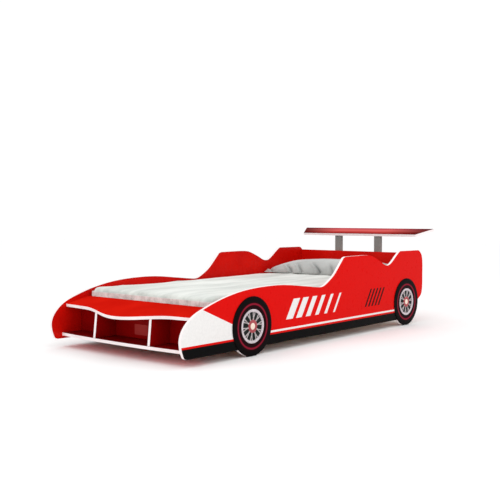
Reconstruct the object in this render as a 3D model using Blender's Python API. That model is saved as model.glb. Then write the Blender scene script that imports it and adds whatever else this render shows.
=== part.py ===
"""Child's bed in the shape of an open-wheel racing car, built from 12 mm boards.

Metres, +Z up. X is the width, Y the length with the nose at -Y and the headboard at +Y,
and z = 0 is the floor. The origin is under the middle of the whole bed.
Every named object is one physical piece.
"""
import math

import bmesh
import bpy
from mathutils import Matrix, Vector

# ---------------------------------------------------------------- driving dimensions
GAP = 0.0003                     # clearance kept between pieces that touch
BED_WIDTH = 0.755                # over the outer faces of the side panels
BOARD = 0.012                    # thickness of every board
BAND = 0.001                     # thickness of the white edge banding

NOSE_Y = -0.894                  # foremost point of the side panels
SILL_Z = 0.033                   # lower edge of the side panels between the wheels
GLIDE = (0.010, 0.052, 0.003)    # floor glide under each wheel: width, length, height

WHEEL_RADIUS = 0.115
AXLE_Z = 0.115
FRONT_AXLE_Y = -0.5135
REAR_AXLE_Y = 0.6525
DISC_THICKNESS = 0.004
RIM_RADIUS = 0.070
HUB_RADIUS = 0.016

HEADBOARD_Y = 0.786              # front face
HEADBOARD_Z = (0.135, 0.348)
FOOT_PANEL_Y = -0.747            # front face, which is the back of the nose niches

HOOD_SLOPE = math.atan(0.23)     # the hood board rises towards the mattress
HOOD_FRONT = (-0.822, 0.174)     # y and height of its upper face beside the side panels
HOOD_REAR_Y = -0.7105
HOOD_WAVE = (0.012, 0.258, 0.057)          # centre, half width and reach of the middle wave
HOOD_CROWN = 0.009
NOSE_FLOOR_TOP = 0.0575
NOSE_FLOOR_FRONT_Y = -0.842
NOSE_FLOOR_CROWN = 0.017
DIVIDERS_X = (-0.145, 0.167)
DIVIDER_SETBACK = 0.003

MATTRESS = (0.700, 1.490, 0.100)
MATTRESS_REAR_Y = 0.7835
SLAT_TOP = 0.136
SLAT_COUNT = 12
SLAT_FIRST_Y = -0.665
SLAT_LAST_Y = 0.715
SLAT = (0.060, 0.012)            # width, thickness
SLAT_END_GAP = 0.002
RAIL = (0.020, 0.030)            # thickness, height
RAIL_ENDS_Y = (-0.730, 0.745)

PILLOW_Y = (0.446, 0.781)
PILLOW_HALF_WIDTH = 0.350
PILLOW_HEIGHT = 0.073

WING_FRONT_Y = 0.790
WING_SLOPE = math.radians(16.0)
WING_REAR = (0.894 - BOARD * math.sin(WING_SLOPE), 0.4696)    # upper face's rear edge
WING_HALF_WIDTH = (0.351, 0.403)           # at the front, at the rear
POST_X = 0.123
POST = (0.038, 0.018, 0.0015)    # width, depth, wall
POST_BOTTOM = 0.200
PLATE = (0.076, 0.003)           # length and thickness of the plate on each post

SHANK_RADIUS = 0.002             # every screw
HEAD_RADIUS = 0.004
HEAD_HEIGHT = 0.0025
PIN_RADIUS = 0.0025              # steel pin of a cam fitting
CAM_RADIUS = 0.0075
CAM_DEPTH = 0.0095
CAM_INSET = 0.034                # cam centre from the board's end
BLIND = 0.009                    # depth of a blind hole in a 12 mm board
CAMS_Z = (0.165, 0.300)          # heights of the cam fittings at each end of the headboard
POST_SCREWS_Z = (0.235, 0.305)
WING_SCREWS = (0.044, 0.070)     # distance of the wing screws behind the wing's front edge

INNER_X = BED_WIDTH / 2 - BOARD            # inner faces of the side panels
END_X = INNER_X - GAP                      # ends of the boards between them
HEADBOARD_BACK = HEADBOARD_Y + BOARD
RAIL_TOP = SLAT_TOP - SLAT[1] - GAP
RAIL_X = INNER_X - GAP - RAIL[0]           # inner face of a rail
THROUGH = 0.002                            # how far a cutter runs past a face


# ---------------------------------------------------------------- materials
def material(name, colour, roughness, metallic=0.0):
    made = bpy.data.materials.new(name)
    made.use_nodes = True
    shader = made.node_tree.nodes["Principled BSDF"]
    shader.inputs["Base Color"].default_value = (*colour, 1.0)
    shader.inputs["Roughness"].default_value = roughness
    shader.inputs["Metallic"].default_value = metallic
    return made


# ---------------------------------------------------------------- mesh helpers
def add_object(name, source, surface, smooth=False):
    """Turn a bmesh into a named object with its own material."""
    bmesh.ops.recalc_face_normals(source, faces=source.faces)
    mesh = bpy.data.meshes.new(name)
    source.to_mesh(mesh)
    source.free()
    mesh.materials.append(surface)
    if smooth:
        mesh.shade_smooth()
        mesh.set_sharp_from_angle(angle=math.radians(35))
    made = bpy.data.objects.new(name, mesh)
    bpy.context.scene.collection.objects.link(made)
    return made


def modify(target, source, operation, label):
    """Cut a bmesh out of an object, or join it on, with an exact Boolean."""
    tool = add_object(target.name + "_" + label, source, target.data.materials[0])
    tool.hide_render = True
    tool.display_type = "WIRE"
    modifier = target.modifiers.new(label, "BOOLEAN")
    modifier.operation = operation
    modifier.solver = "EXACT"
    modifier.object = tool


def extrude_outline(source, outline, place, low, high):
    """Close a flat outline into a prism; place(a, b, depth) gives each corner."""
    bottom = [source.verts.new(place(a, b, low)) for a, b in outline]
    top = [source.verts.new(place(a, b, high)) for a, b in outline]
    source.faces.new(bottom)
    source.faces.new(list(reversed(top)))
    for i in range(len(outline)):
        j = (i + 1) % len(outline)
        source.faces.new((bottom[j], bottom[i], top[i], top[j]))


def extrude_ring(source, outer, inner, place, low, high):
    """Close the strip between two outlines of equal length into a frame."""
    edges = ((outer, low), (inner, low), (inner, high), (outer, high))
    loops = [[source.verts.new(place(a, b, depth)) for a, b in outline]
             for outline, depth in edges]
    for i in range(len(outer)):
        j = (i + 1) % len(outer)
        for k in range(4):
            here, there = loops[k], loops[(k + 1) % 4]
            source.faces.new((here[i], here[j], there[j], there[i]))


def loft(source, rings):
    """Join rings of equal length into a closed form, with flat ends."""
    loops = [[source.verts.new(corner) for corner in ring] for ring in rings]
    source.faces.new(loops[0])
    source.faces.new(list(reversed(loops[-1])))
    for here, there in zip(loops, loops[1:]):
        for i in range(len(here)):
            j = (i + 1) % len(here)
            source.faces.new((here[j], here[i], there[i], there[j]))


def add_rod(source, start, end, radius, sides=10):
    """A closed cylinder between the centres of its two ends."""
    start, end = Vector(start), Vector(end)
    turn = Vector((0, 0, 1)).rotation_difference(end - start).to_matrix().to_4x4()
    bmesh.ops.create_cone(source, cap_ends=True, segments=sides, radius1=radius,
                          radius2=radius, depth=(end - start).length,
                          matrix=Matrix.Translation((start + end) / 2) @ turn)


def add_screw(name, under_head, tip, surface):
    """A pan-head screw: its head starts at under_head and its shank ends at tip."""
    under_head, tip = Vector(under_head), Vector(tip)
    back = (under_head - tip).normalized()
    turn = Vector((0, 0, 1)).rotation_difference(back).to_matrix()
    profile = ((SHANK_RADIUS, tip), (SHANK_RADIUS, under_head), (HEAD_RADIUS, under_head),
               (HEAD_RADIUS, under_head + back * HEAD_HEIGHT * 0.6),
               (HEAD_RADIUS * 0.7, under_head + back * HEAD_HEIGHT))
    rings = [[middle + turn @ Vector((radius * math.cos(k * math.pi / 4),
                                      radius * math.sin(k * math.pi / 4), 0))
              for k in range(8)] for radius, middle in profile]
    source = bmesh.new()
    loft(source, rings)
    add_object(name, source, surface)


def add_block(name, low, high, surface):
    source = bmesh.new()
    size = [b - a for a, b in zip(low, high)]
    middle = [(a + b) / 2 for a, b in zip(low, high)]
    bmesh.ops.create_cube(source, size=1.0,
                          matrix=Matrix.Translation(middle) @ Matrix.Diagonal((*size, 1.0)))
    return add_object(name, source, surface)


# ---------------------------------------------------------------- outlines
def smooth_through(points, steps=3):
    """Centripetal Catmull-Rom curve through the points, ends included."""
    knots = [Vector(p) for p in points]
    knots = [2 * knots[0] - knots[1]] + knots + [2 * knots[-1] - knots[-2]]
    curve = []
    for p0, p1, p2, p3 in zip(knots, knots[1:], knots[2:], knots[3:]):
        t1 = math.sqrt((p1 - p0).length)
        t2 = t1 + math.sqrt((p2 - p1).length)
        t3 = t2 + math.sqrt((p3 - p2).length)
        for k in range(steps):
            t = t1 + (t2 - t1) * k / steps
            a1 = p0.lerp(p1, t / t1)
            a2 = p1.lerp(p2, (t - t1) / (t2 - t1))
            a3 = p2.lerp(p3, (t - t2) / (t3 - t2))
            b1 = a1.lerp(a2, t / t2)
            b2 = a2.lerp(a3, (t - t1) / (t3 - t1))
            curve.append(tuple(b1.lerp(b2, (t - t1) / (t2 - t1))))
    return curve + [tuple(points[-1])]


def inset(outline, distance):
    """Move a closed counter-clockwise outline inwards by a distance."""
    moved = []
    count = len(outline)
    for i in range(count):
        before, here, after = (Vector(outline[k % count]) for k in (i - 1, i, i + 1))
        first, second = (here - before).normalized(), (after - here).normalized()
        middle = Vector((-first.y - second.y, first.x + second.x)).normalized()
        reach = distance / max(0.35, middle.dot(Vector((-first.y, first.x))))
        moved.append(tuple(here + middle * reach))
    return moved


def wheel_arc(axle_y, front_z, rear_z, steps=9):
    """Lower edge of a wheel from front to rear, flat where its glide is."""
    front, flat, rear = (math.asin((AXLE_Z - z) / WHEEL_RADIUS)
                         for z in (front_z, GLIDE[2] + GAP, rear_z))
    turns = [math.pi - front - (flat - front) * k / steps for k in range(steps + 1)]
    turns += [flat - (flat - rear) * k / steps for k in range(steps + 1)]
    return [(axle_y + WHEEL_RADIUS * math.cos(t), AXLE_Z - WHEEL_RADIUS * math.sin(t))
            for t in turns]


def side_outline():
    """Silhouette of a side panel as (y, z), counter-clockwise seen from +X."""
    chin = [(NOSE_Y + 0.018, SILL_Z + 0.004), (NOSE_Y + 0.030, SILL_Z)]
    wheels = wheel_arc(FRONT_AXLE_Y, SILL_Z, SILL_Z) + wheel_arc(REAR_AXLE_Y, SILL_Z, 0.116)
    fin_back = smooth_through([(0.775, 0.120), (0.806, 0.141), (0.8165, 0.175),
                               (0.8180, 0.240), (0.8165, 0.310), (0.8060, 0.342),
                               (0.782, 0.362)])
    fin_top = [(0.770, 0.364), (0.594, 0.365)]
    engine = smooth_through([(0.584, 0.360), (0.558, 0.343), (0.5255, 0.320), (0.497, 0.304),
                             (0.474, 0.301), (0.450, 0.306), (0.409, 0.3247), (0.357, 0.345),
                             (0.325, 0.3535), (0.270, 0.3565), (0.190, 0.3565),
                             (0.122, 0.3555)])
    cockpit = smooth_through([(0.107, 0.351), (0.066, 0.310), (0.031, 0.278), (-0.010, 0.253),
                              (-0.042, 0.238), (-0.064, 0.2345), (-0.100, 0.237),
                              (-0.189, 0.247), (-0.317, 0.260), (-0.423, 0.262),
                              (-0.530, 0.257), (-0.604, 0.248), (-0.687, 0.231),
                              (-0.770, 0.206), (-0.823, 0.185), (-0.859, 0.160),
                              (-0.885, 0.128), (NOSE_Y, 0.098), (-0.889, 0.064),
                              (-0.880, 0.042)])
    return chin + wheels + fin_back + fin_top + engine + cockpit


def hood_reach(x):
    """How far the hood's wavy front edge runs ahead of its two ends."""
    centre, half, reach = HOOD_WAVE
    wave = math.cos(math.pi * min(1.0, abs(x - centre) / half) / 2) ** 2
    return reach * wave + HOOD_CROWN * (1 - (x / END_X) ** 2)


def floor_reach(x):
    """How far the nose floor's bowed front edge runs ahead of its two ends."""
    return NOSE_FLOOR_CROWN * (1 - (x / END_X) ** 2)


def front_edge(reach, back, steps=28):
    """Front edge from -X to +X, moved back square to itself, with its ends kept in place."""
    step = 2 * END_X / steps
    edge = []
    for k in range(steps + 1):
        x = -END_X + step * k
        slope = (reach(x + step / 2) - reach(x - step / 2)) / step
        square = math.hypot(1, slope)
        shift = 0 if k in (0, steps) else -back * slope / square
        edge.append((x + shift, -reach(x) + back / square))
    return edge


# ---------------------------------------------------------------- places on the boards
def side_place(side):
    return lambda y, z, depth: (side * (INNER_X + depth), y, z)


def level_place(x, y, depth):
    return x, NOSE_FLOOR_FRONT_Y + y, NOSE_FLOOR_TOP - depth


def sloping_place(front_y, front_z, slope):
    """(across, back from the front edge, below the upper face) on a tilted board."""
    return lambda x, y, depth: (x, front_y + y * math.cos(slope) + depth * math.sin(slope),
                                front_z + y * math.sin(slope) - depth * math.cos(slope))


HOOD_PLACE = sloping_place(*HOOD_FRONT, HOOD_SLOPE)
HOOD_LENGTH = (HOOD_REAR_Y - HOOD_FRONT[0]) / math.cos(HOOD_SLOPE)
WING_CHORD = (WING_REAR[0] - WING_FRONT_Y) / math.cos(WING_SLOPE)
WING_PLACE = sloping_place(WING_FRONT_Y, WING_REAR[1] - WING_CHORD * math.sin(WING_SLOPE),
                           WING_SLOPE)


def under_hood(y):
    """Height of the hood board's lower face above a place along the bed."""
    return (HOOD_FRONT[1] + (y - HOOD_FRONT[0]) * math.tan(HOOD_SLOPE)
            - BOARD / math.cos(HOOD_SLOPE))


def slat_places():
    pitch = (SLAT_LAST_Y - SLAT_FIRST_Y) / (SLAT_COUNT - 1)
    return [SLAT_FIRST_Y + pitch * k for k in range(SLAT_COUNT)]


def divider_fronts(x):
    """(y, z) of a divider's front edge at the floor and under the hood."""
    bottom_y = NOSE_FLOOR_FRONT_Y - floor_reach(x) + DIVIDER_SETBACK
    top_y = HOOD_PLACE(x, -hood_reach(x), BOARD)[1] + DIVIDER_SETBACK
    return bottom_y, top_y


# ---------------------------------------------------------------- side panels and wheels
def side_panel(side, red, white):
    label = "right" if side > 0 else "left"
    outline = side_outline()
    place = side_place(side)
    source = bmesh.new()
    extrude_outline(source, inset(outline, BAND + GAP), place, 0, BOARD)
    panel = add_object("side_panel_" + label, source, red)
    holes = bmesh.new()
    for z in CAMS_Z:
        middle = HEADBOARD_Y + BOARD / 2
        add_rod(holes, place(middle, z, -THROUGH), place(middle, z, BLIND), PIN_RADIUS + GAP)
    modify(panel, holes, "DIFFERENCE", "pin_holes")
    source = bmesh.new()
    extrude_ring(source, outline, inset(outline, BAND), place, 0, BOARD)
    add_object("edge_band_" + label, source, white)


def wheel_disc(name, side, axle_y, surface):
    """Thin decorative wheel on the outer face: tyre ring, sunk rim and hub."""
    face = BED_WIDTH / 2 + GAP
    outer = WHEEL_RADIUS - 0.0005
    sunk, proud = DISC_THICKNESS / 2, DISC_THICKNESS
    profile = [(outer, 0), (outer, proud * 0.7), (outer - 0.006, proud),
               (RIM_RADIUS + 0.003, proud), (RIM_RADIUS, sunk), (HUB_RADIUS + 0.002, sunk),
               (HUB_RADIUS, proud)]
    turns = [2 * math.pi * k / 40 for k in range(40)]
    source = bmesh.new()
    loft(source, [[(side * (face + depth), axle_y + radius * math.cos(t),
                    AXLE_Z + radius * math.sin(t)) for t in turns]
                  for radius, depth in profile])
    add_object(name, source, surface, smooth=True)


def floor_glide(name, side, axle_y, surface):
    width, length, height = GLIDE
    middle = side * (INNER_X + BOARD / 2)
    add_block(name, (middle - width / 2, axle_y - length / 2, 0),
              (middle + width / 2, axle_y + length / 2, height), surface)


# ---------------------------------------------------------------- boards between the panels
def fronted_board(name, reach, back, place, red, white):
    """A board whose curved front edge carries a white band."""
    source = bmesh.new()
    outline = front_edge(reach, BAND + GAP) + [(END_X, back), (-END_X, back)]
    extrude_outline(source, outline, place, 0, BOARD)
    add_object(name, source, red)
    source = bmesh.new()
    band = front_edge(reach, 0) + list(reversed(front_edge(reach, BAND)))
    extrude_outline(source, band, place, 0, BOARD)
    add_object(name + "_edge_band", source, white)


def headboard(red):
    """Board behind the pillow, with a pocket and a pin hole for each cam fitting."""
    board = add_block("headboard", (-END_X, HEADBOARD_Y, HEADBOARD_Z[0]),
                      (END_X, HEADBOARD_BACK, HEADBOARD_Z[1]), red)
    pockets, pins, screw_holes = bmesh.new(), bmesh.new(), bmesh.new()
    middle = HEADBOARD_Y + BOARD / 2
    for side in (-1, 1):
        for z in CAMS_Z:
            cam_x = side * (END_X - CAM_INSET)
            add_rod(pockets, (cam_x, HEADBOARD_BACK - CAM_DEPTH - GAP, z),
                    (cam_x, HEADBOARD_BACK + THROUGH, z), CAM_RADIUS + GAP, 16)
            add_rod(pins, (cam_x, middle, z), (side * (END_X + THROUGH), middle, z),
                    PIN_RADIUS + GAP)
        for z in POST_SCREWS_Z:
            add_rod(screw_holes, (side * POST_X, HEADBOARD_BACK - BLIND, z),
                    (side * POST_X, HEADBOARD_BACK + THROUGH, z), SHANK_RADIUS + GAP)
    modify(board, pockets, "DIFFERENCE", "cam_pockets")
    modify(board, pins, "DIFFERENCE", "pin_holes")
    modify(board, screw_holes, "DIFFERENCE", "post_screw_holes")


def foot_panel(red):
    """Back of the nose niches; its top follows the underside of the hood."""
    back = FOOT_PANEL_Y + BOARD
    source = bmesh.new()
    outline = [(FOOT_PANEL_Y, NOSE_FLOOR_TOP + GAP), (back, NOSE_FLOOR_TOP + GAP),
               (back, under_hood(back) - GAP), (FOOT_PANEL_Y, under_hood(FOOT_PANEL_Y) - GAP)]
    extrude_outline(source, outline, lambda y, z, x: (x, y, z), -END_X, END_X)
    add_object("foot_panel", source, red)


def niche_divider(name, x, red, white):
    back = FOOT_PANEL_Y - GAP
    low = NOSE_FLOOR_TOP + GAP
    bottom_y, top_y = divider_fronts(x)

    def front_line(shift):
        return [(bottom_y + shift, low), (top_y + shift, under_hood(top_y + shift) - GAP)]

    def place(y, z, depth):
        return x + depth, y, z

    source = bmesh.new()
    front = front_line(BAND + GAP)
    outline = [front[0], (back, low), (back, under_hood(back) - GAP), front[1]]
    extrude_outline(source, outline, place, -BOARD / 2, BOARD / 2)
    add_object(name, source, red)
    source = bmesh.new()
    band = [front_line(0)[0], front_line(BAND)[0], front_line(BAND)[1], front_line(0)[1]]
    extrude_outline(source, band, place, -BOARD / 2, BOARD / 2)
    add_object(name + "_edge_band", source, white)


# ---------------------------------------------------------------- spoiler
def wing(red, white):
    front, rear = WING_HALF_WIDTH
    outline = [(-front, 0), (front, 0), (rear, WING_CHORD), (-rear, WING_CHORD)]
    source = bmesh.new()
    extrude_outline(source, inset(outline, BAND + GAP), WING_PLACE, 0, BOARD)
    board = add_object("wing_board", source, red)
    holes = bmesh.new()
    for x in (-POST_X, POST_X):
        for chord in WING_SCREWS:
            add_rod(holes, WING_PLACE(x, chord, BOARD - BLIND),
                    WING_PLACE(x, chord, BOARD + THROUGH), SHANK_RADIUS + GAP)
    modify(board, holes, "DIFFERENCE", "screw_holes")
    source = bmesh.new()
    extrude_ring(source, outline, inset(outline, BAND), WING_PLACE, 0, BOARD)
    add_object("wing_edge_band", source, white)


def wing_post(name, side, grey):
    """Square tube behind the headboard with a sloping plate welded on top."""
    width, depth, wall = POST
    front = HEADBOARD_BACK + GAP
    plate_top = BOARD + GAP
    plate_low = plate_top + PLATE[1]
    plate_front = 0.005

    def tube_loops(shrink, bottom, lift):
        """Corner loops of the tube: level at the bottom, sloping under the plate."""
        corners = [(side * POST_X + sx * (width / 2 - shrink),
                    front + depth / 2 + sy * (depth / 2 - shrink))
                   for sx, sy in ((-1, -1), (1, -1), (1, 1), (-1, 1))]
        slope_z = WING_PLACE(0, 0, plate_low - lift)
        return ([(x, y, bottom) for x, y in corners],
                [(x, y, slope_z[2] + (y - slope_z[1]) * math.tan(WING_SLOPE))
                 for x, y in corners])

    source = bmesh.new()
    loft(source, tube_loops(0, POST_BOTTOM, 0.0005))
    post = add_object(name, source, grey)
    plate = bmesh.new()
    middle = side * POST_X
    corners = [(middle - width / 2, plate_front), (middle + width / 2, plate_front),
               (middle + width / 2, plate_front + PLATE[0]),
               (middle - width / 2, plate_front + PLATE[0])]
    extrude_outline(plate, corners, WING_PLACE, plate_top, plate_low)
    modify(post, plate, "UNION", "plate")
    bore = bmesh.new()
    loft(bore, tube_loops(wall, POST_BOTTOM - THROUGH, -0.0005))
    modify(post, bore, "DIFFERENCE", "bore")
    holes = bmesh.new()
    for z in POST_SCREWS_Z:
        add_rod(holes, (middle, front - THROUGH, z), (middle, front + depth + THROUGH, z),
                SHANK_RADIUS + GAP)
    for chord in WING_SCREWS:
        add_rod(holes, WING_PLACE(middle, chord, plate_top - THROUGH),
                WING_PLACE(middle, chord, plate_low + THROUGH), SHANK_RADIUS + GAP)
    modify(post, holes, "DIFFERENCE", "screw_holes")


# ---------------------------------------------------------------- slatted base
def rail(name, side, wood):
    low_x, high_x = sorted((side * RAIL_X, side * (INNER_X - GAP)))
    add_block(name, (low_x, RAIL_ENDS_Y[0], RAIL_TOP - RAIL[1]),
              (high_x, RAIL_ENDS_Y[1], RAIL_TOP), wood)


def slat(name, y, wood):
    width, thickness = SLAT
    bottom = RAIL_TOP + GAP
    half_length = INNER_X - SLAT_END_GAP
    add_block(name, (-half_length, y - width / 2, bottom),
              (half_length, y + width / 2, bottom + thickness), wood)


# ---------------------------------------------------------------- mattress and pillow
def mattress(cloth):
    """Upholstered block with rounded corners and softened edges."""
    width, length, height = MATTRESS
    corner, soft = 0.035, 0.018
    bottom = SLAT_TOP + GAP
    middle_y = MATTRESS_REAR_Y - length / 2

    def ring(inward, z):
        points = []
        for quarter, (sx, sy) in enumerate(((1, 1), (-1, 1), (-1, -1), (1, -1))):
            for k in range(6):
                t = (quarter + k / 5) * math.pi / 2
                points.append((sx * (width / 2 - corner) + (corner - inward) * math.cos(t),
                               middle_y + sy * (length / 2 - corner)
                               + (corner - inward) * math.sin(t), z))
        return points

    turns = [k * math.pi / 8 for k in range(5)]
    rings = [ring(soft * (1 - math.sin(t)), bottom + soft * (1 - math.cos(t))) for t in turns]
    rings += [ring(soft * (1 - math.cos(t)), bottom + height - soft * (1 - math.sin(t)))
              for t in turns]
    source = bmesh.new()
    loft(source, rings)
    add_object("mattress", source, cloth, smooth=True)


def pillow(cloth):
    """Crowned pillow lying on the mattress against the headboard."""
    low_y, high_y = PILLOW_Y
    half_length, middle_y = (high_y - low_y) / 2, (high_y + low_y) / 2
    bottom = SLAT_TOP + MATTRESS[2] + 2 * GAP
    roundness = 5.0

    def ring(scale, height):
        points = []
        for k in range(40):
            t = 2 * math.pi * k / 40
            across = math.copysign(abs(math.cos(t)) ** (2 / roundness), math.cos(t))
            along = math.copysign(abs(math.sin(t)) ** (2 / roundness), math.sin(t))
            points.append((PILLOW_HALF_WIDTH * scale * across,
                           middle_y + half_length * scale * along,
                           bottom + PILLOW_HEIGHT * height))
        return points

    profile = ((0.92, 0), (0.99, 0.08), (1, 0.18), (0.975, 0.36), (0.92, 0.56),
               (0.82, 0.75), (0.66, 0.90), (0.46, 0.98), (0.24, 1))
    source = bmesh.new()
    loft(source, [ring(scale, height) for scale, height in profile])
    add_object("pillow", source, cloth, smooth=True)


# ---------------------------------------------------------------- fasteners
def cam_fitting(label, side, z, steel, zinc):
    """Cam lock in the back of the headboard and its pin into the side panel."""
    cam_x = side * (END_X - CAM_INSET)
    middle = HEADBOARD_Y + BOARD / 2
    source = bmesh.new()
    add_rod(source, (cam_x, HEADBOARD_BACK - CAM_DEPTH, z), (cam_x, HEADBOARD_BACK - GAP, z),
            CAM_RADIUS, 16)
    add_object("cam_lock_" + label, source, zinc)
    source = bmesh.new()
    add_rod(source, (cam_x + side * (CAM_RADIUS + GAP), middle, z),
            (side * (INNER_X + BLIND - GAP), middle, z), PIN_RADIUS)
    add_object("cam_pin_" + label, source, steel)


def post_screw(name, x, z, steel):
    back = HEADBOARD_BACK + 2 * GAP + POST[1]
    add_screw(name, (x, back, z), (x, HEADBOARD_BACK - BLIND + GAP, z), steel)


def wing_screw(name, x, chord, steel):
    add_screw(name, WING_PLACE(x, chord, BOARD + PLATE[1] + 2 * GAP),
              WING_PLACE(x, chord, BOARD - BLIND + GAP), steel)


# ---------------------------------------------------------------- the bed
def build():
    for old in list(bpy.data.objects):
        bpy.data.objects.remove(old, do_unlink=True)
    red = material("red_lacquer", (0.62, 0.012, 0.010), 0.30)
    white = material("white_edging", (0.90, 0.86, 0.86), 0.40)
    grey = material("grey_paint", (0.20, 0.19, 0.18), 0.45)
    tyre = material("black_artwork", (0.020, 0.020, 0.020), 0.35)
    nylon = material("nylon", (0.05, 0.05, 0.05), 0.55)
    pine = material("pine", (0.62, 0.44, 0.25), 0.60)
    cover = material("mattress_cover", (0.82, 0.83, 0.82), 0.90)
    linen = material("pillow_cloth", (0.60, 0.60, 0.60), 0.90)
    steel = material("zinc_plated_steel", (0.62, 0.62, 0.62), 0.35, 1.0)
    zinc = material("zinc_casting", (0.50, 0.50, 0.50), 0.50, 1.0)

    for side, label in ((-1, "left"), (1, "right")):
        side_panel(side, red, white)
        for end, axle_y in (("front", FRONT_AXLE_Y), ("rear", REAR_AXLE_Y)):
            wheel_disc("wheel_disc_%s_%s" % (end, label), side, axle_y, tyre)
            floor_glide("floor_glide_%s_%s" % (end, label), side, axle_y, nylon)
        rail("slat_rail_" + label, side, pine)
        wing_post("wing_post_" + label, side, grey)
        for level, cam_z, screw_z, chord in zip(("lower", "upper"), CAMS_Z, POST_SCREWS_Z,
                                                WING_SCREWS):
            cam_fitting(level + "_" + label, side, cam_z, steel, zinc)
            post_screw("post_screw_%s_%s" % (level, label), side * POST_X, screw_z, steel)
            row = "front" if level == "lower" else "rear"
            wing_screw("wing_screw_%s_%s" % (row, label), side * POST_X, chord, steel)
    headboard(red)
    foot_panel(red)
    fronted_board("hood_board", hood_reach, HOOD_LENGTH, HOOD_PLACE, red, white)
    fronted_board("nose_floor", floor_reach, FOOT_PANEL_Y + BOARD - NOSE_FLOOR_FRONT_Y,
                  level_place, red, white)
    for label, x in zip(("left", "right"), DIVIDERS_X):
        niche_divider("niche_divider_" + label, x, red, white)
    wing(red, white)
    for k, y in enumerate(slat_places()):
        slat("slat_%02d" % (k + 1), y, pine)
    mattress(cover)
    pillow(linen)


build()
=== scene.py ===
import math
import random

import bmesh
import bpy
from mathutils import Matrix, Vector, noise
from mathutils.geometry import delaunay_2d_cdt


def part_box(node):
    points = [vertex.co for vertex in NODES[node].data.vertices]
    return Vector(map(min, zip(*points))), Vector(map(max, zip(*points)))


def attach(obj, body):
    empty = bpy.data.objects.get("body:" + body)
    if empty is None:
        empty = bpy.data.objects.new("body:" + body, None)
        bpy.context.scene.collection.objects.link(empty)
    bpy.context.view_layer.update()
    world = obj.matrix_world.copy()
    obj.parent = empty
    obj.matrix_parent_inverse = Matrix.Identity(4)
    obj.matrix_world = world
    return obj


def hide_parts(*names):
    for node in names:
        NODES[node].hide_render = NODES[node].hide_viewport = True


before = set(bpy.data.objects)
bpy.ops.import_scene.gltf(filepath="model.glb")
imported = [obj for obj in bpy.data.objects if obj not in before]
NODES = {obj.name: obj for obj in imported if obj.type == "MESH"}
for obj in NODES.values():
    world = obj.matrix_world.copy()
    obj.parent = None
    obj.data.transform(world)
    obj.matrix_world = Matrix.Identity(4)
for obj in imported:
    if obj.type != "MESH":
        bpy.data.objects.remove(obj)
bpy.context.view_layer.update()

random.seed(7)
SIDES = ((-1, "left"), (1, "right"))


def rgb(red, green, blue):
    """Linear colour of a display colour given as 0 to 255."""
    return tuple(c / 255 / 12.92 if c <= 10 else ((c / 255 + 0.055) / 1.055) ** 2.4
                 for c in (red, green, blue))


# ---------------------------------------------------------------- materials
def add_node(material, kind, inputs=(), **settings):
    made = material.node_tree.nodes.new("ShaderNode" + kind)
    for key, value in settings.items():
        setattr(made, key, value)
    for key, value in dict(inputs).items():
        if isinstance(value, bpy.types.NodeSocket):
            material.node_tree.links.new(value, made.inputs[key])
        else:
            made.inputs[key].default_value = value
    return made


def new_material(name, **constants):
    """A Principled material; constants are socket values, with _ for a space."""
    made = bpy.data.materials.new(name)
    made.use_nodes = True
    for key, value in constants.items():
        shader_of(made).inputs[key.replace("_", " ")].default_value = value
    return made


def shader_of(material):
    return material.node_tree.nodes["Principled BSDF"]


def drive(material, socket, source):
    material.node_tree.links.new(source, shader_of(material).inputs[socket])


def place_of(material, stretch=(1, 1, 1), turn=(0, 0, 0)):
    """Position on the object in metres, stretched along its axes."""
    where = add_node(material, "TexCoord").outputs["Object"]
    return add_node(material, "Mapping", {"Vector": where, "Scale": stretch,
                                          "Rotation": turn}).outputs["Vector"]


def speckle(material, scale, detail=3.0, stretch=(1, 1, 1), turn=(0, 0, 0)):
    made = add_node(material, "TexNoise", {"Vector": place_of(material, stretch, turn),
                                           "Scale": scale, "Detail": detail,
                                           "Roughness": 0.55})
    return made.outputs["Fac"]


def between(material, factor, low, high, start=0.3, end=0.7):
    """A number that runs from low to high as factor runs from start to end."""
    return add_node(material, "MapRange", {"Value": factor, "From Min": start,
                                           "From Max": end, "To Min": low,
                                           "To Max": high}).outputs["Result"]


def tint(material, factor, first, second, start=0.3, end=0.7):
    """A colour that runs from first to second as factor runs from start to end."""
    share = between(material, factor, 0.0, 1.0, start, end)
    return add_node(material, "Mix", {0: share, 6: (*first, 1), 7: (*second, 1)},
                    data_type="RGBA").outputs[2]


def bump(material, height, distance, strength=1.0):
    made = add_node(material, "Bump", {"Height": height, "Distance": distance,
                                       "Strength": strength})
    drive(material, "Normal", made.outputs["Normal"])


def lacquer(name, deep, bright, roughness=0.26, coat=0.02, specular=0.05):
    """Sprayed board: faint cloudiness, orange peel and uneven gloss."""
    made = new_material(name, Coat_Weight=coat, Coat_Roughness=0.12,
                        Specular_IOR_Level=specular)
    drive(made, "Base Color", tint(made, speckle(made, 9.0), deep, bright))
    drive(made, "Roughness", between(made, speckle(made, 45.0), roughness - 0.04,
                                     roughness + 0.07))
    bump(made, speckle(made, 420.0, 2.0), 0.0001, 0.12)
    return made


def printed_film(name, roughness=0.3):
    """Smooth film or rubber; its colours are the colour attribute "paint"."""
    made = new_material(name, Coat_Weight=0.01, Coat_Roughness=0.10,
                        Specular_IOR_Level=0.02)
    picture = add_node(made, "Attribute", attribute_name="paint").outputs["Color"]
    ink = tint(made, speckle(made, 120.0), (0.88, 0.88, 0.88), (0.94, 0.94, 0.94))
    inked = add_node(made, "Mix", {0: 1.0, 6: picture, 7: ink}, data_type="RGBA",
                     blend_type="MULTIPLY")
    drive(made, "Base Color", inked.outputs[2])
    drive(made, "Roughness", between(made, speckle(made, 60.0), roughness - 0.05,
                                     roughness + 0.08))
    bump(made, speckle(made, 500.0, 2.0), 0.0001, 0.04)
    return made


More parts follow.
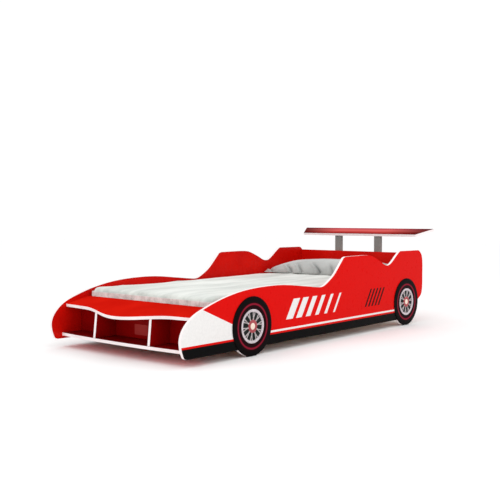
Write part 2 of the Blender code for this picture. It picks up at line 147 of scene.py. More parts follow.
def woven(name, shade, light, thread=0.0011, stains=6.0, streaks=(1, 1, 1), fuzz=0.35,
          painted_fold_shade=None):
    """Cloth: crossing threads, soft streaks of shade and a fuzzy sheen.

    The optional last argument names the mesh attribute that says how deep in a fold each point
    lies; the cloth is darkened there, a painted shade in the folds.
    """
    made = new_material(name, Sheen_Weight=fuzz, Sheen_Roughness=0.5,
                        Specular_IOR_Level=0.2)
    colour = tint(made, speckle(made, stains, 4.0, streaks), shade, light)
    # painted shade: the cloth is darkened the deeper a point lies in a fold
    if painted_fold_shade:
        depth = add_node(made, "Attribute", attribute_name=painted_fold_shade).outputs["Fac"]
        painted_fold_darkening = between(made, depth, 1.0, 0.55, 0.0, 1.0)
        colour = add_node(made, "Mix", {0: 1.0, 6: colour, 7: painted_fold_darkening}, data_type="RGBA",
                          blend_type="MULTIPLY").outputs[2]
    drive(made, "Base Color", colour)
    turns = ((0, 0, 0), (0, 0, math.pi / 2))
    warp, weft = [add_node(made, "TexWave", {"Vector": place_of(made, turn=turn),
                                             "Scale": 0.314 / thread, "Distortion": 0.6,
                                             "Detail": 1.0}).outputs["Fac"]
                  for turn in turns]
    weave = add_node(made, "Math", {0: warp, 1: weft}, operation="MULTIPLY").outputs[0]
    drive(made, "Roughness", between(made, weave, 0.82, 0.95, 0.0, 1.0))
    bump(made, weave, 0.0003, 0.3)
    return made


def timber(name, early, late):
    """Planed softwood: grain lines along the board and fine fibres."""
    made = new_material(name, Specular_IOR_Level=0.3)
    place = place_of(made, (0.35, 9.0, 9.0))
    rings = add_node(made, "TexWave", {"Vector": place, "Scale": 3.0, "Distortion": 5.0,
                                       "Detail": 3.0, "Detail Scale": 1.4},
                     bands_direction="Y").outputs["Fac"]
    drive(made, "Base Color", tint(made, rings, early, late, 0.35, 1.0))
    fibres = speckle(made, 60.0, 4.0, (0.5, 22.0, 22.0))
    drive(made, "Roughness", between(made, fibres, 0.5, 0.72))
    bump(made, fibres, 0.0004, 0.35)
    return made


def lacquer_painted_shade_on_top(name, upper, lower):
    """Sprayed board with its red below and a darker red on its upper face, painted shade where
    it forms the floor of the niches.
    """
    made = new_material(name, Specular_IOR_Level=0.02)
    # painted shade: the upward face is given the darker colour
    facing = add_node(made, "NewGeometry").outputs["Normal"]
    upward = add_node(made, "SeparateXYZ", {"Vector": facing}).outputs["Z"]
    clouded = add_node(made, "Math", {0: speckle(made, 9.0), 1: 0.6, 2: upward},
                       operation="MULTIPLY_ADD").outputs[0]
    drive(made, "Base Color", tint(made, clouded, lower, upper, -0.5, 1.3))
    drive(made, "Roughness", between(made, speckle(made, 45.0), 0.28, 0.40))
    return made


def lacquer_painted_highlight_and_shade(name, stops, axis, low, high, ends):
    """Sprayed board whose colour fades along one axis, a painted highlight in the middle, and
    darkens at both ends of x as painted shade.
    """
    made = new_material(name, Specular_IOR_Level=0.0)
    where = add_node(made, "TexCoord").outputs["Object"]
    axes = add_node(made, "SeparateXYZ", {"Vector": where})
    along = between(made, axes.outputs[axis], 0.0, 1.0, low, high)
    cloud = speckle(made, 7.0, 3.0, (0.5, 1.0, 1.0))
    moved = add_node(made, "Math", {0: cloud, 1: 0.5, 2: along}, operation="MULTIPLY_ADD")
    ramp = add_node(made, "ValToRGB", {"Fac": between(made, moved.outputs[0], 0.0, 1.0,
                                                      0.25, 1.25)})
    points = ramp.color_ramp.elements
    points[0].position, points[0].color = stops[0][0], (*stops[0][1], 1)
    points[1].position, points[1].color = stops[-1][0], (*stops[-1][1], 1)
    for position, colour in stops[1:-1]:
        points.new(position).color = (*colour, 1)
    # painted shade: the board darkens towards both ends along x
    outward = add_node(made, "Math", {0: axes.outputs["X"]}, operation="ABSOLUTE")
    dark = between(made, outward.outputs[0], 1.0, 0.26, *ends)
    shaded = add_node(made, "Mix", {0: 1.0, 6: ramp.outputs["Color"], 7: dark},
                      data_type="RGBA", blend_type="MULTIPLY")
    drive(made, "Base Color", shaded.outputs[2])
    drive(made, "Roughness", between(made, speckle(made, 45.0), 0.36, 0.48))
    bump(made, speckle(made, 420.0, 2.0), 0.0001, 0.12)
    return made


def metal(name, dull, bright, roughness, metallic=1.0):
    made = new_material(name, Metallic=metallic)
    drive(made, "Base Color", tint(made, speckle(made, 140.0), dull, bright))
    drive(made, "Roughness", between(made, speckle(made, 260.0), roughness - 0.07,
                                     roughness + 0.09))
    bump(made, speckle(made, 700.0, 2.0), 0.0001, 0.25)
    return made


RED = rgb(222, 14, 10)
FINISH = {
    "red_lacquer": lacquer("red_lacquer", rgb(196, 12, 6), rgb(212, 18, 8)),
    "hood_lacquer": lacquer("hood_lacquer", rgb(194, 20, 10), rgb(206, 26, 13), 0.3, 0.0, 0.0),
    # the darker upper face of the nose floor is painted shade inside the niches
    "floor_lacquer": lacquer_painted_shade_on_top("floor_lacquer", rgb(112, 5, 6), rgb(214, 12, 12)),
    # the wing's lighter middle is a painted highlight; its darker front and rear strips and
    # ends are painted shade
    "wing_lacquer": lacquer_painted_highlight_and_shade(
        "wing_lacquer", ((0.0, rgb(128, 30, 30)), (0.30, rgb(178, 56, 52)),
                         (0.60, rgb(212, 98, 94)), (0.85, rgb(190, 74, 82)),
                         (1.0, rgb(160, 52, 64))), "Y", 0.790, 0.890, (0.15, 0.36)),
    # darker red for the boards inside the niches: painted shade of the recesses
    "niche_lacquer_painted_shade": lacquer("niche_lacquer_painted_shade", rgb(134, 5, 6), rgb(160, 8, 8), 0.32, 0.0, 0.02),
    # white edging; its faint pink tint is a painted reflection of the red boards
    "white_edging": lacquer("white_edging", rgb(238, 226, 226), rgb(250, 242, 242), 0.35),
    "grey_paint": lacquer("grey_paint", rgb(124, 122, 119), rgb(138, 136, 132), 0.42),
    "nylon": lacquer("nylon", rgb(30, 30, 30), rgb(44, 44, 44), 0.5),
    "pine": timber("pine", rgb(222, 190, 140), rgb(190, 148, 98)),
    "steel": metal("steel", rgb(170, 172, 175), rgb(205, 205, 208), 0.3),
    "zinc": metal("zinc", rgb(140, 142, 146), rgb(176, 178, 180), 0.45),
    "film": printed_film("film"),
    "rubber": printed_film("rubber", 0.42),
    "rim": metal("rim", rgb(178, 166, 172), rgb(216, 208, 212), 0.26, 0.2),
    "spoke": metal("spoke", rgb(158, 148, 150), rgb(206, 198, 198), 0.3, 0.2),
    "backing": lacquer("backing", rgb(10, 12, 12), rgb(38, 46, 44), 0.4),
    "label": lacquer("label", rgb(176, 52, 48), rgb(186, 60, 56), 0.4),
    "hub": lacquer("hub", rgb(150, 62, 70), rgb(186, 96, 98), 0.35),
    "cap": lacquer("cap", rgb(232, 208, 190), rgb(250, 236, 222), 0.35),
    "sheet": woven("sheet", rgb(178, 184, 178), rgb(230, 233, 227), 0.0012, 13.0,
                   (1.0, 0.16, 1.0)),
    # the pillow's linen is darkened in its folds, painted shade
    "linen": woven("linen", rgb(160, 162, 160), rgb(182, 184, 181), 0.0010, 8.0,
                   painted_fold_shade="crease"),
    "piping": woven("piping", rgb(186, 184, 180), rgb(232, 231, 228), 0.0008, 40.0),
}


# ---------------------------------------------------------------- mesh helpers
def finish_piece(name, source, surface, smooth=35.0, body="bed"):
    """Turn a bmesh into a named piece on a body; smooth is the sharpest smoothed angle."""
    bmesh.ops.recalc_face_normals(source, faces=source.faces)
    mesh = bpy.data.meshes.new(name)
    source.to_mesh(mesh)
    source.free()
    mesh.materials.append(FINISH[surface])
    if smooth:
        mesh.shade_smooth()
        mesh.set_sharp_from_angle(angle=math.radians(smooth))
    piece = bpy.data.objects.new(name, mesh)
    bpy.context.scene.collection.objects.link(piece)
    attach(piece, body)
    return piece


def grid_faces(source, rows, closed_across=True, closed_along=False):
    """Faces between rows of vertices of equal length."""
    made = []
    pairs = list(zip(rows, rows[1:])) + ([(rows[-1], rows[0])] if closed_along else [])
    for here, there in pairs:
        for i in range(len(here) if closed_across else len(here) - 1):
            j = (i + 1) % len(here)
            made.append(source.faces.new((here[i], here[j], there[j], there[i])))
    return made


def revolve(source, profile, place, turns=96):
    """Turn a closed (radius, depth) profile; place(radius, angle, depth) gives a point."""
    rows = [[source.verts.new(place(radius, 2 * math.pi * k / turns, depth))
             for radius, depth in profile] for k in range(turns)]
    return grid_faces(source, rows, closed_across=True, closed_along=True)


def revolve_cap(source, profile, place, turns=48):
    """Turn an open (radius, depth) profile that is closed by flat ends."""
    rows = [[source.verts.new(place(radius, 2 * math.pi * k / turns, depth))
             for k in range(turns)] for radius, depth in profile]
    grid_faces(source, rows)
    source.faces.new(rows[0])
    source.faces.new(rows[-1])


def soft_step(value):
    value = max(0.0, min(1.0, value))
    return value * value * (3 - 2 * value)


# ---------------------------------------------------------------- the side stripes
def counter_clockwise(outline):
    area = sum(a[0] * b[1] - b[0] * a[1]
               for a, b in zip(outline, outline[1:] + outline[:1]))
    return outline if area > 0 else list(reversed(outline))


BLACK = rgb(12, 12, 12)
WHITE = rgb(240, 238, 236)
SILL_TOP = 0.070                      # dark strip along the bottom
LINE_LOW, LINE_TOP = 0.078, 0.086     # thin white line above it
NOSE_RISE = 0.170                     # height of the white wedge at the nose
OVERLAP = 0.020                       # how far a stripe runs past the panel's edge
BAR_LOW, BAR_TOP, BAR_LEAN = 0.120, 0.200, 0.050
BAR_COUNT, BAR_PITCH = 6, 0.066
BAR_WIDTH, BAR_TAPER = 0.044, 0.006   # the first bar, and how much narrower each next one is
FIRST_BAR, FIRST_VENT = 0.18, 0.68    # where each row starts, as a share from axle to axle
VENT_COUNT, VENT_PITCH, VENT_WIDTH = 5, 0.028, 0.012
FILM_THICKNESS, FILM_GLUE = 0.00012, 0.00004
INSIDE_ONLY, SAME_PLACE = 1, 1e-6     # settings of the triangulation


def slanted_bar(start, width, low, high, lean):
    """Outline of a bar from low to high that leans backwards."""
    return [(start, low), (start + width, low),
            (start + width + lean, high), (start + lean, high)]


def stripes(front, back):
    """(colour, outline) of each stripe of a plain pattern that is placed by the axles."""
    front_axle, rear_axle = (sum(c.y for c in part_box("wheel_disc_" + end + "_right")) / 2
                             for end in ("front", "rear"))
    front, back = front - OVERLAP, back + OVERLAP
    made = [(BLACK, slanted_bar(front, back - front, -OVERLAP, SILL_TOP, 0)),
            (WHITE, slanted_bar(front, back - front, LINE_LOW, LINE_TOP, 0)),
            (WHITE, [(front, LINE_TOP), (front_axle, LINE_TOP),
                     (front, LINE_TOP + NOSE_RISE)])]
    first_bar = front_axle + (rear_axle - front_axle) * FIRST_BAR
    for k in range(BAR_COUNT):
        made.append((WHITE, slanted_bar(first_bar + BAR_PITCH * k, BAR_WIDTH - BAR_TAPER * k,
                                        BAR_LOW, BAR_TOP, BAR_LEAN)))
    first_vent = front_axle + (rear_axle - front_axle) * FIRST_VENT
    for k in range(VENT_COUNT):
        made.append((BLACK, slanted_bar(first_vent + VENT_PITCH * k, VENT_WIDTH,
                                        BAR_LOW, BAR_TOP, BAR_LEAN)))
    return made


def outer_outline(node, side):
    """Corner places (y, z) round the outer face of a side panel's band, in order."""
    source = bmesh.new()
    source.from_mesh(NODES[node].data)
    bmesh.ops.remove_doubles(source, verts=source.verts, dist=1e-5)
    face_x = max(v.co.x * side for v in source.verts)
    flat = {f for f in source.faces if all(v.co.x * side > face_x - 1e-5 for v in f.verts)}
    follows = {}
    for face in flat:
        for loop in face.loops:
            if sum(f in flat for f in loop.edge.link_faces) == 1:
                follows[loop.vert] = loop.link_loop_next.vert
    corner = start = min(follows, key=lambda v: v.co.y)
    outline = []
    while corner != start or not outline:
        outline.append((corner.co.y, corner.co.z))
        corner = follows[corner]
    source.free()
    return outline, face_x


def print_layout(outline):
    """Corner places, and the triangles of the stripes, each with its colour."""
    low_y, high_y = min(p[0] for p in outline), max(p[0] for p in outline)
    areas = [(RED, counter_clockwise(outline))] + stripes(low_y, high_y)
    places, faces = [], []
    for _, shape in areas:
        faces.append(list(range(len(places), len(places) + len(shape))))
        places += shape
    made = delaunay_2d_cdt([Vector(p) for p in places], [], faces, INSIDE_ONLY,
                           SAME_PLACE, True)
    corners, triangles, layers = made[0], made[2], made[5]
    painted = [(triangle, areas[max(above)][0])
               for triangle, above in zip(triangles, layers) if 0 in above]
    return corners, painted


def printed_sides():
    """The printed film on the outer face of each side panel."""
    outline, face_x = outer_outline("edge_band_right", 1)
    corners, painted = print_layout(outline)
    for side, label in SIDES:
        source = bmesh.new()
        paint = source.loops.layers.float_color.new("paint")
        front = {}
        for triangle, colour in painted:
            for corner in triangle:
                if corner not in front:
                    y, z = corners[corner]
                    x = side * (face_x + FILM_GLUE + FILM_THICKNESS)
                    front[corner] = source.verts.new((x, y, z))
            order = triangle if side > 0 else list(reversed(triangle))
            face = source.faces.new([front[corner] for corner in order])
            for loop in face.loops:
                loop[paint] = (*Vector(colour), 1.0)
        border = [e for e in source.edges if len(e.link_faces) == 1]
        back = bmesh.ops.extrude_edge_only(source, edges=border)["geom"]
        for vertex in (g for g in back if isinstance(g, bmesh.types.BMVert)):
            vertex.co.x = side * (face_x + FILM_GLUE)
        bmesh.ops.holes_fill(source, edges=[e for e in source.edges if e.is_boundary])
        finish_piece("side_print_" + label, source, "film", 0)


# ---------------------------------------------------------------- wheels
TYRE_BLACK = Vector(rgb(12, 9, 10))
TYRE_RED = Vector(rgb(30, 4, 9))
TYRE_RING = Vector(rgb(140, 24, 46))
RING_MIDDLE, RING_WIDTH = 0.0850, 0.010
BLACK_FROM, BLACK_OVER = 0.086, 0.014      # radius where the red ends, and how softly


def tyre_colour(radius):
    """Black, redder towards the rim, with one plain ring."""
    colour = TYRE_RED.lerp(TYRE_BLACK, soft_step((radius - BLACK_FROM) / BLACK_OVER))
    across = 1 - abs(radius - RING_MIDDLE) / (RING_WIDTH / 2)
    return colour.lerp(TYRE_RING, soft_step(across * 1.6))


def wheel_pieces(side, label, node):
    """Tyre, rim, spokes and hub in relief on one wheel disc."""
    low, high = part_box(node)
    axle_y, axle_z = (low.y + high.y) / 2, (low.z + high.z) / 2
    face = min(abs(low.x), abs(high.x))

    def place(radius, angle, depth):
        return (side * (face + depth), axle_y + radius * math.cos(angle),
                axle_z + radius * math.sin(angle))

    source = bmesh.new()
    ring = [(0.0658, 0.0), (0.1135, 0.0), (0.1145, 0.0010), (0.1142, 0.0024)]
    ring += [(0.1142 - 0.0012 * k, 0.0028 + 0.0012 * math.sin(k * math.pi / 38))
             for k in range(1, 38)]
    ring += [(0.0670, 0.0030), (0.0658, 0.0020)]
    faces = revolve(source, ring, place, 180)
    paint = source.loops.layers.float_color.new("paint")
    for tyre_face in faces:
        for loop in tyre_face.loops:
            y, z = loop.vert.co.y - axle_y, loop.vert.co.z - axle_z
            loop[paint] = (*tyre_colour(math.hypot(y, z)), 1.0)
    tyre = finish_piece("tyre_" + label, source, "rubber", 50)
    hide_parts(node)

    source = bmesh.new()
    revolve(source, [(0.0550, 0.0012), (0.0656, 0.0012), (0.0656, 0.0038),
                     (0.0645, 0.0046), (0.0616, 0.0047), (0.0588, 0.0042),
                     (0.0564, 0.0034), (0.0552, 0.0024)], place)
    finish_piece("rim_" + label, source, "rim", 50)

    source = bmesh.new()
    revolve_cap(source, [(0.0555, 0.0003), (0.0555, 0.0012), (0.0527, 0.0016),
                         (0.0400, 0.0012), (0.0240, 0.0010), (0.0100, 0.0010)], place)
    finish_piece("rim_backing_" + label, source, "backing")

    source = bmesh.new()
    for k in range(10):
        middle = math.radians(36 * k + 9)
        stem = ((0.0235, 0.0, 0.0058), (0.0360, 0.0, 0.0046))
        arms = [((0.0345, turn * 0.035, 0.0034), (0.0560, turn * 0.105, 0.0042))
                for turn in (-1, 1)]
        for (r0, a0, w0), (r1, a1, w1) in [stem] + arms:
            rows = []
            for radius, turn, half in ((r0, a0, w0 / 2), (r1, a1, w1 / 2)):
                bevel = half * 0.55
                section = ((-half, 0.0011), (-half, 0.0027), (-bevel, 0.0036),
                           (bevel, 0.0036), (half, 0.0027), (half, 0.0011))
                rows.append([source.verts.new(place(radius, middle + turn + w / radius, d))
                             for w, d in section])
            grid_faces(source, rows)
            for row in rows:
                source.faces.new(row)
    finish_piece("spokes_" + label, source, "spoke", 20)

    source = bmesh.new()
    revolve(source, [(0.0130, 0.0012), (0.0252, 0.0012), (0.0252, 0.0034),
                     (0.0235, 0.0043), (0.0190, 0.0041), (0.0150, 0.0036),
                     (0.0130, 0.0028)], place, 64)
    finish_piece("hub_ring_" + label, source, "hub")
    source = bmesh.new()
    revolve_cap(source, [(0.0128, 0.0012), (0.0128, 0.0036), (0.0112, 0.0044),
                         (0.0070, 0.0047), (0.0020, 0.0048)], place)
    finish_piece("hub_cap_" + label, source, "cap")


# ---------------------------------------------------------------- boards and fittings
WELD_DISTANCE = 0.00001
BOARD_EDGE, FINE_EDGE = 0.0006, 0.0003     # softened edges of boards and of small parts


def finish_nodes():
    """Materials and softened edges for the CAD parts that are shown as they are."""
    # the foot panel and niche dividers get the darker red, painted shade of the niches
    groups = (("side_panel", "red_lacquer"), ("headboard", "red_lacquer"),
              ("foot_panel", "niche_lacquer_painted_shade"), ("hood_board", "hood_lacquer"),
              ("nose_floor", "floor_lacquer"), ("niche_divider", "niche_lacquer_painted_shade"),
              ("wing_board", "wing_lacquer"), ("wing_post", "grey_paint"),
              ("slat_rail", "pine"), ("slat_", "pine"), ("floor_glide", "nylon"),
              ("cam_lock", "zinc"), ("cam_pin", "steel"), ("post_screw", "steel"),
              ("wing_screw", "steel"))
    for name, node in NODES.items():
        finish = next((made for start, made in groups if name.startswith(start)), None)
        if "edge_band" in name:
            finish = "white_edging"
        if finish is None:
            continue
        node.data.materials[0] = FINISH[finish]
        weld = node.modifiers.new("weld", "WELD")
        weld.merge_threshold = WELD_DISTANCE
        flatten = node.modifiers.new("flatten", "DECIMATE")
        flatten.decimate_type = "DISSOLVE"
        flatten.angle_limit = math.radians(0.5)
        soften = node.modifiers.new("soften", "BEVEL")
        fine = any(part in name for part in ("band", "cam", "screw"))
        soften.width = FINE_EDGE if fine else BOARD_EDGE
        soften.segments = 2
        soften.limit_method = "ANGLE"
        soften.angle_limit = math.radians(40)
        soften.use_clamp_overlap = True
        soften.harden_normals = True


SLAT_COUNT = 12
SCREW_INSET = 0.014                        # screw centre from the slat's end


def screw_heads():
    """Countersunk cross-head screws that hold the slats to the rails."""
    source = bmesh.new()
    for k in range(SLAT_COUNT):
        low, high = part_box("slat_%02d" % (k + 1))
        for side in (-1, 1):
            x, y, top = side * (high.x - SCREW_INSET), (low.y + high.y) / 2, high.z
            turn = random.uniform(0, math.pi)

            def place(radius, angle, depth):
                return (x + radius * math.cos(angle + turn),
                        y + radius * math.sin(angle + turn), top + depth)

            rows = []
            for reach, depth in ((0.0040, -0.0006), (0.0040, 0.0001), (0.0034, 0.0004)):
                rows.append([source.verts.new(place(reach, a * math.pi / 12, depth))
                             for a in range(24)])
            slot_ring = []
            for a in range(24):
                wide = 0.0024 if a % 6 in (0, 1, 5) else 0.0009
                slot_ring.append(source.verts.new(place(wide, a * math.pi / 12, 0.0003)))
            rows.append(slot_ring)
            rows.append([source.verts.new(place(0.0006, a * math.pi / 12, -0.0010))
                         for a in range(24)])
            grid_faces(source, rows)
            source.faces.new(rows[0])
            source.faces.new(rows[-1])
    finish_piece("slat_screws", source, "steel", 30)


# ---------------------------------------------------------------- mattress and pillow
def soft_block(low, high, corner, soft, levels=6):
    """Closed block with rounded corners and edges, as rings from bottom to top."""
    source = bmesh.new()
    middle, half = (low + high) / 2, (high - low) / 2

    def ring(inward, z):
        made = []
        for quarter, (sx, sy) in enumerate(((1, 1), (-1, 1), (-1, -1), (1, -1))):
            for k in range(8):
                t = (quarter + k / 7) * math.pi / 2
                made.append(source.verts.new((
                    middle.x + sx * (half.x - corner) + (corner - inward) * math.cos(t),
                    middle.y + sy * (half.y - corner) + (corner - inward) * math.sin(t), z)))
        return made

    turns = [k * math.pi / 2 / levels for k in range(levels + 1)]
    rows = [ring(soft * (1 - math.sin(t)), low.z + soft * (1 - math.cos(t))) for t in turns]
    rows += [ring(soft * (1 - math.cos(t)), high.z - soft * (1 - math.sin(t)))
             for t in turns]
    grid_faces(source, rows)
    source.faces.new(rows[0])
    source.faces.new(rows[-1])
    return source


def remesh(piece, voxel):
    modifier = piece.modifiers.new("remesh", "REMESH")
    modifier.mode = "VOXEL"
    modifier.voxel_size = voxel
    modifier.use_smooth_shade = True
    bake_modifiers(piece)


def bake_modifiers(piece):
    """Apply every modifier of a piece to its mesh."""
    graph = bpy.context.evaluated_depsgraph_get()
    graph.update()
    mesh = bpy.data.meshes.new_from_object(piece.evaluated_get(graph))
    old = piece.data
    piece.modifiers.clear()
    piece.data = mesh
    bpy.data.meshes.remove(old)


def inflate(piece, pressure, cap, held_below, frames=20):
    """Swell a padded piece by cloth simulation; no point moves further than cap."""
    rest = [v.co.copy() for v in piece.data.vertices]
    held = piece.vertex_groups.new(name="held")
    held.add([v.index for v in piece.data.vertices if v.co.z < held_below], 1.0, "REPLACE")
    cloth = piece.modifiers.new("cloth", "CLOTH")
    cloth.settings.quality = 4
    cloth.settings.use_pressure = True
    cloth.settings.uniform_pressure_force = pressure
    cloth.settings.effector_weights.gravity = 0
    cloth.settings.vertex_group_mass = "held"
    cloth.point_cache.frame_start = 1
    cloth.point_cache.frame_end = frames
    scene = bpy.context.scene
    for number in range(1, frames + 1):
        scene.frame_set(number)
    bake_modifiers(piece)
    for vertex, before in zip(piece.data.vertices, rest):
        moved = vertex.co - before
        if moved.length > cap:
            vertex.co = before + moved * (cap / moved.length)
    scene.frame_set(1)


def subdivide(piece):
    modifier = piece.modifiers.new("smooth", "SUBSURF")
    modifier.levels = modifier.render_levels = 1
    bake_modifiers(piece)


def soft_piece(name, source, surface, body, node):
    piece = finish_piece(name, source, surface, 0, body)
    piece.data.shade_smooth()
    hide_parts(node)
    return piece


def mattress_piece():
    low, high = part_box("mattress")
    inset = Vector((0.001, 0.001, 0.001))
    piece = soft_piece("mattress_cover", soft_block(low + inset, high - inset, 0.020, 0.020),
                       "sheet", "mattress", "mattress")
    remesh(piece, 0.010)
    inflate(piece, 4.0, 0.003, low.z + 0.012)
    subdivide(piece)
    middle = (low + high) / 2
    for vertex in piece.data.vertices:
        place = vertex.co
        up = soft_step((place.z - middle.z) / 0.04)
        ripple = noise.fractal(Vector((place.x * 9, place.y * 3.2, 0.3)), 1.0, 2.0, 4)
        crease = 1 - abs(noise.noise(Vector((place.x * 5 + place.y * 2, place.y * 2.2, 4))))
        place.z += up * (0.0022 * ripple + 0.0030 * (crease ** 6 - 0.5))
        front = soft_step((low.y + 0.05 - place.y) / 0.04)
        sides = soft_step((abs(place.x) - high.x + 0.02) / 0.02)
        gather = noise.noise(Vector((place.x * 46, place.z * 9, place.y * 46)))
        band = math.exp(-((place.z - low.z - 0.070) / 0.014) ** 2)
        pleat = 0.0045 * gather * band
        place.y -= front * pleat
        place.x += math.copysign(sides * pleat * 0.4, place.x)
        place.z = max(low.z, min(high.z + 0.003, place.z))


def hem_piece():
    """Gathered elastic hem of the fitted sheet round the mattress's foot end."""
    low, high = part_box("mattress")
    source = bmesh.new()
    rows = []
    corner, steps = 0.020, 420
    half = high.x - corner
    path_length = 2 * half + math.pi * corner
    for k in range(steps + 1):
        s = path_length * k / steps
        bend = math.pi * corner / 2
        if s < bend:
            t = s / corner
            x, y = -half - corner * math.cos(t), low.y + corner - corner * math.sin(t)
            out = Vector((-math.cos(t), -math.sin(t), 0))
        elif s < bend + 2 * half:
            x, y, out = -half + s - bend, low.y, Vector((0, -1, 0))
        else:
            t = (s - bend - 2 * half) / corner
            x, y = half + corner * math.sin(t), low.y + corner - corner * math.cos(t)
            out = Vector((math.sin(t), -math.cos(t), 0))
        pleat = (0.0022 * math.sin(s * 520 + 3 * noise.noise(Vector((s * 30, 0, 0))))
                 + 0.0020 * noise.noise(Vector((s * 140, 5, 0))))
        row = []
        for height, swell in ((0.083, 0.2), (0.077, 0.8), (0.068, 1.0), (0.058, 0.8),
                              (0.050, 0.3)):
            shift = out * (0.0022 + pleat * swell)
            row.append(source.verts.new((x + shift.x, y + shift.y, low.z + height)))
        for height in (0.050, 0.083):
            shift = out * -0.004
            row.append(source.verts.new((x + shift.x, y + shift.y, low.z + height)))
        rows.append(row)
    grid_faces(source, rows)
    source.faces.new(rows[0])
    source.faces.new(rows[-1])
    finish_piece("mattress_hem", source, "piping", 60, "mattress")


PILLOW_FOLDS = (                      # start and end x, and how deep each fold is
    (-0.363, -0.286, 0.008), (-0.243, -0.155, 0.011), (-0.172, -0.092, 0.009),
    (-0.071, 0.033, 0.012), (0.032, 0.098, 0.009), (0.130, 0.210, 0.009),
    (0.225, 0.300, 0.008))
FOLD_REACH = 0.055                    # how far the folds run in from the front edge
FOLD_WIDTH = 0.0095


PILLOW_SPREAD = 1.034                      # width over the CAD pillow's
PILLOW_VOXEL = 0.005
PILLOW_PRESSURE, PILLOW_SWELL = 4.0, 0.004
# DARKEST_FOLD is the fold depth at which the painted shade in a fold is darkest
DARKEST_FOLD = 0.010                       # depth at which a fold has its full shade


def pillow_piece():
    """Stuffed pillow with pointed corners and folds sweeping to its front edge."""
    low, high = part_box("pillow")
    middle, half = (low + high) / 2, (high - low) / 2
    height = high.z - low.z
    across, along = 72, 38
    source = bmesh.new()
    sheets = {1: {}, -1: {}}
    for i in range(across + 1):
        for k in range(along + 1):
            u, v = 2 * i / across - 1, 2 * k / along - 1
            x = middle.x + half.x * PILLOW_SPREAD * u * (1 - 0.035 * (1 - v * v))
            y = middle.y + half.y * v * (1 - 0.060 * (1 - u * u))
            full = math.sqrt(max(0.0, (1 - abs(u) ** 3.0) * (1 - abs(v) ** 2.4)))
            seam = height * (0.03 + 0.06 * (1 - u * u))
            top = seam + 0.88 * height * full ** 0.85
            bottom = height * 0.012 + (seam - height * 0.012) * (1 - min(1.0, 2.5 * full))
            edge = i in (0, across) or k in (0, along)
            sheets[1][i, k] = source.verts.new((x, y, low.z + top))
            sheets[-1][i, k] = (sheets[1][i, k] if edge
                                else source.verts.new((x, y, low.z + bottom)))
    for sheet in sheets.values():
        for i in range(across):
            for k in range(along):
                source.faces.new((sheet[i, k], sheet[i + 1, k], sheet[i + 1, k + 1],
                                  sheet[i, k + 1]))
    piece = soft_piece("pillow_cover", source, "linen", "pillow", "pillow")
    remesh(piece, PILLOW_VOXEL)
    inflate(piece, PILLOW_PRESSURE, PILLOW_SWELL, low.z + PILLOW_SWELL)
    subdivide(piece)
    normals = [vertex.normal.copy() for vertex in piece.data.vertices]
    painted_fold_shade = piece.data.attributes.new("crease", "FLOAT", "POINT")
    for vertex, normal, crease in zip(piece.data.vertices, normals, painted_fold_shade.data):
        place = vertex.co
        into = (place.y - low.y) / FOLD_REACH
        upper = soft_step((place.z - low.z - 0.002) / 0.012)
        drop = deepest = 0.0
        for start, end, depth in PILLOW_FOLDS:
            path_x = end + (start - end) * max(0.0, into) ** 0.7
            away = (place.x - path_x) / FOLD_WIDTH
            reach = soft_step(1.3 - into) * soft_step(into * 6 + 0.6)
            sunk = depth * reach * math.exp(-abs(away) ** 1.4)
            drop += sunk - 0.6 * depth * reach * math.exp(-(away + 1.9) ** 2)
            deepest = max(deepest, sunk)
        wave = noise.fractal(Vector((place.x * 5, place.y * 8, 7)), 1.0, 2.0, 3)
        # painted shade: how dark the linen is painted at this point of a fold
        crease.value = min(1.0, deepest / DARKEST_FOLD)
        vertex.co = place - normal * (upper * drop)
        vertex.co.z += upper * 0.0030 * wave
        vertex.co.z = max(low.z, min(high.z + 0.003, vertex.co.z))
        vertex.co.y = max(low.y - 0.006, min(high.y + 0.001, vertex.co.y))


def niche_label():
    """Plain blank label on the back of the middle niche."""
    board_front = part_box("foot_panel")[0].y
    source = bmesh.new()
    corner, half_width, half_height = 0.002, 0.0380, 0.0205
    middle_x, middle_z = 0.0105, 0.0923
    label_back, label_front = 0.0001, 0.0005
    outline = []
    for quarter, (sx, sz) in enumerate(((1, 1), (-1, 1), (-1, -1), (1, -1))):
        for k in range(4):
            t = (quarter + k / 3) * math.pi / 2
            outline.append((middle_x + sx * (half_width - corner) + corner * math.cos(t),
                            middle_z + sz * (half_height - corner) + corner * math.sin(t)))
    rows = [[source.verts.new((x, board_front - depth, z)) for x, z in outline]
            for depth in (label_back, label_front)]
    grid_faces(source, rows)
    source.faces.new(rows[0])
    source.faces.new(rows[1])
    finish_piece("niche_label", source, "label", 30)


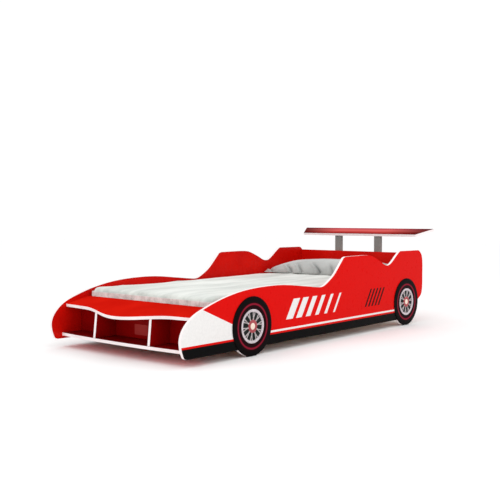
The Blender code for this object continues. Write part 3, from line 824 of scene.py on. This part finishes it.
# ---------------------------------------------------------------- studio
def studio():
    scene = bpy.context.scene
    scene.view_settings.view_transform = "Standard"
    world = bpy.data.worlds.new("studio")
    world.use_nodes = True
    backdrop = world.node_tree.nodes["Background"]
    backdrop.inputs["Color"].default_value = (1, 1, 1, 1)
    backdrop.inputs["Strength"].default_value = 1.04
    scene.world = world

    source = bmesh.new()
    bmesh.ops.create_grid(source, x_segments=2, y_segments=2, size=14.0)
    mesh = bpy.data.meshes.new("studio_floor")
    source.to_mesh(mesh)
    source.free()
    floor = bpy.data.objects.new("studio_floor", mesh)
    floor.location.z = -0.0003
    scene.collection.objects.link(floor)
    paper = new_material("studio_paper", Specular_IOR_Level=0.0)
    drive(paper, "Base Color", tint(paper, speckle(paper, 3.0), rgb(250, 250, 250),
                                    rgb(252, 252, 252)))
    drive(paper, "Roughness", between(paper, speckle(paper, 20.0), 0.8, 0.9))
    mesh.materials.append(paper)

    def lamp(name, place, target, size, power):
        light = bpy.data.lights.new(name, "AREA")
        light.shape = "RECTANGLE"
        light.size, light.size_y = size
        light.energy = power
        made = bpy.data.objects.new(name, light)
        made.location = place
        run = Vector(target) - Vector(place)
        made.rotation_euler = run.to_track_quat("-Z", "Y").to_euler()
        scene.collection.objects.link(made)

    lamp("overhead", (0.3, -0.4, 3.2), (0, 0, 0.1), (3.4, 3.4), 14)
    lamp("front", (1.6, -4.2, 1.7), (0, -0.4, 0.15), (2.6, 1.8), 12)
    lamp("side", (4.2, -0.6, 1.6), (0.3, 0.1, 0.15), (2.6, 1.8), 10)

    lens = bpy.data.cameras.new("camera")
    lens.lens = 57.905
    lens.sensor_width = 36.0
    lens.clip_end = 60.0
    camera = bpy.data.objects.new("camera", lens)
    camera.location = (2.3513, -2.8387, 0.5333)
    camera.rotation_euler = (math.radians(90 - 2.395), 0.0, math.radians(40.48))
    scene.collection.objects.link(camera)
    scene.camera = camera


studio()
finish_nodes()
printed_sides()
for side, side_name in SIDES:
    for end_name in ("front", "rear"):
        wheel_pieces(side, end_name + "_" + side_name,
                     "wheel_disc_%s_%s" % (end_name, side_name))
screw_heads()
niche_label()
mattress_piece()
hem_piece()
pillow_piece()

bpy.context.view_layer.update()
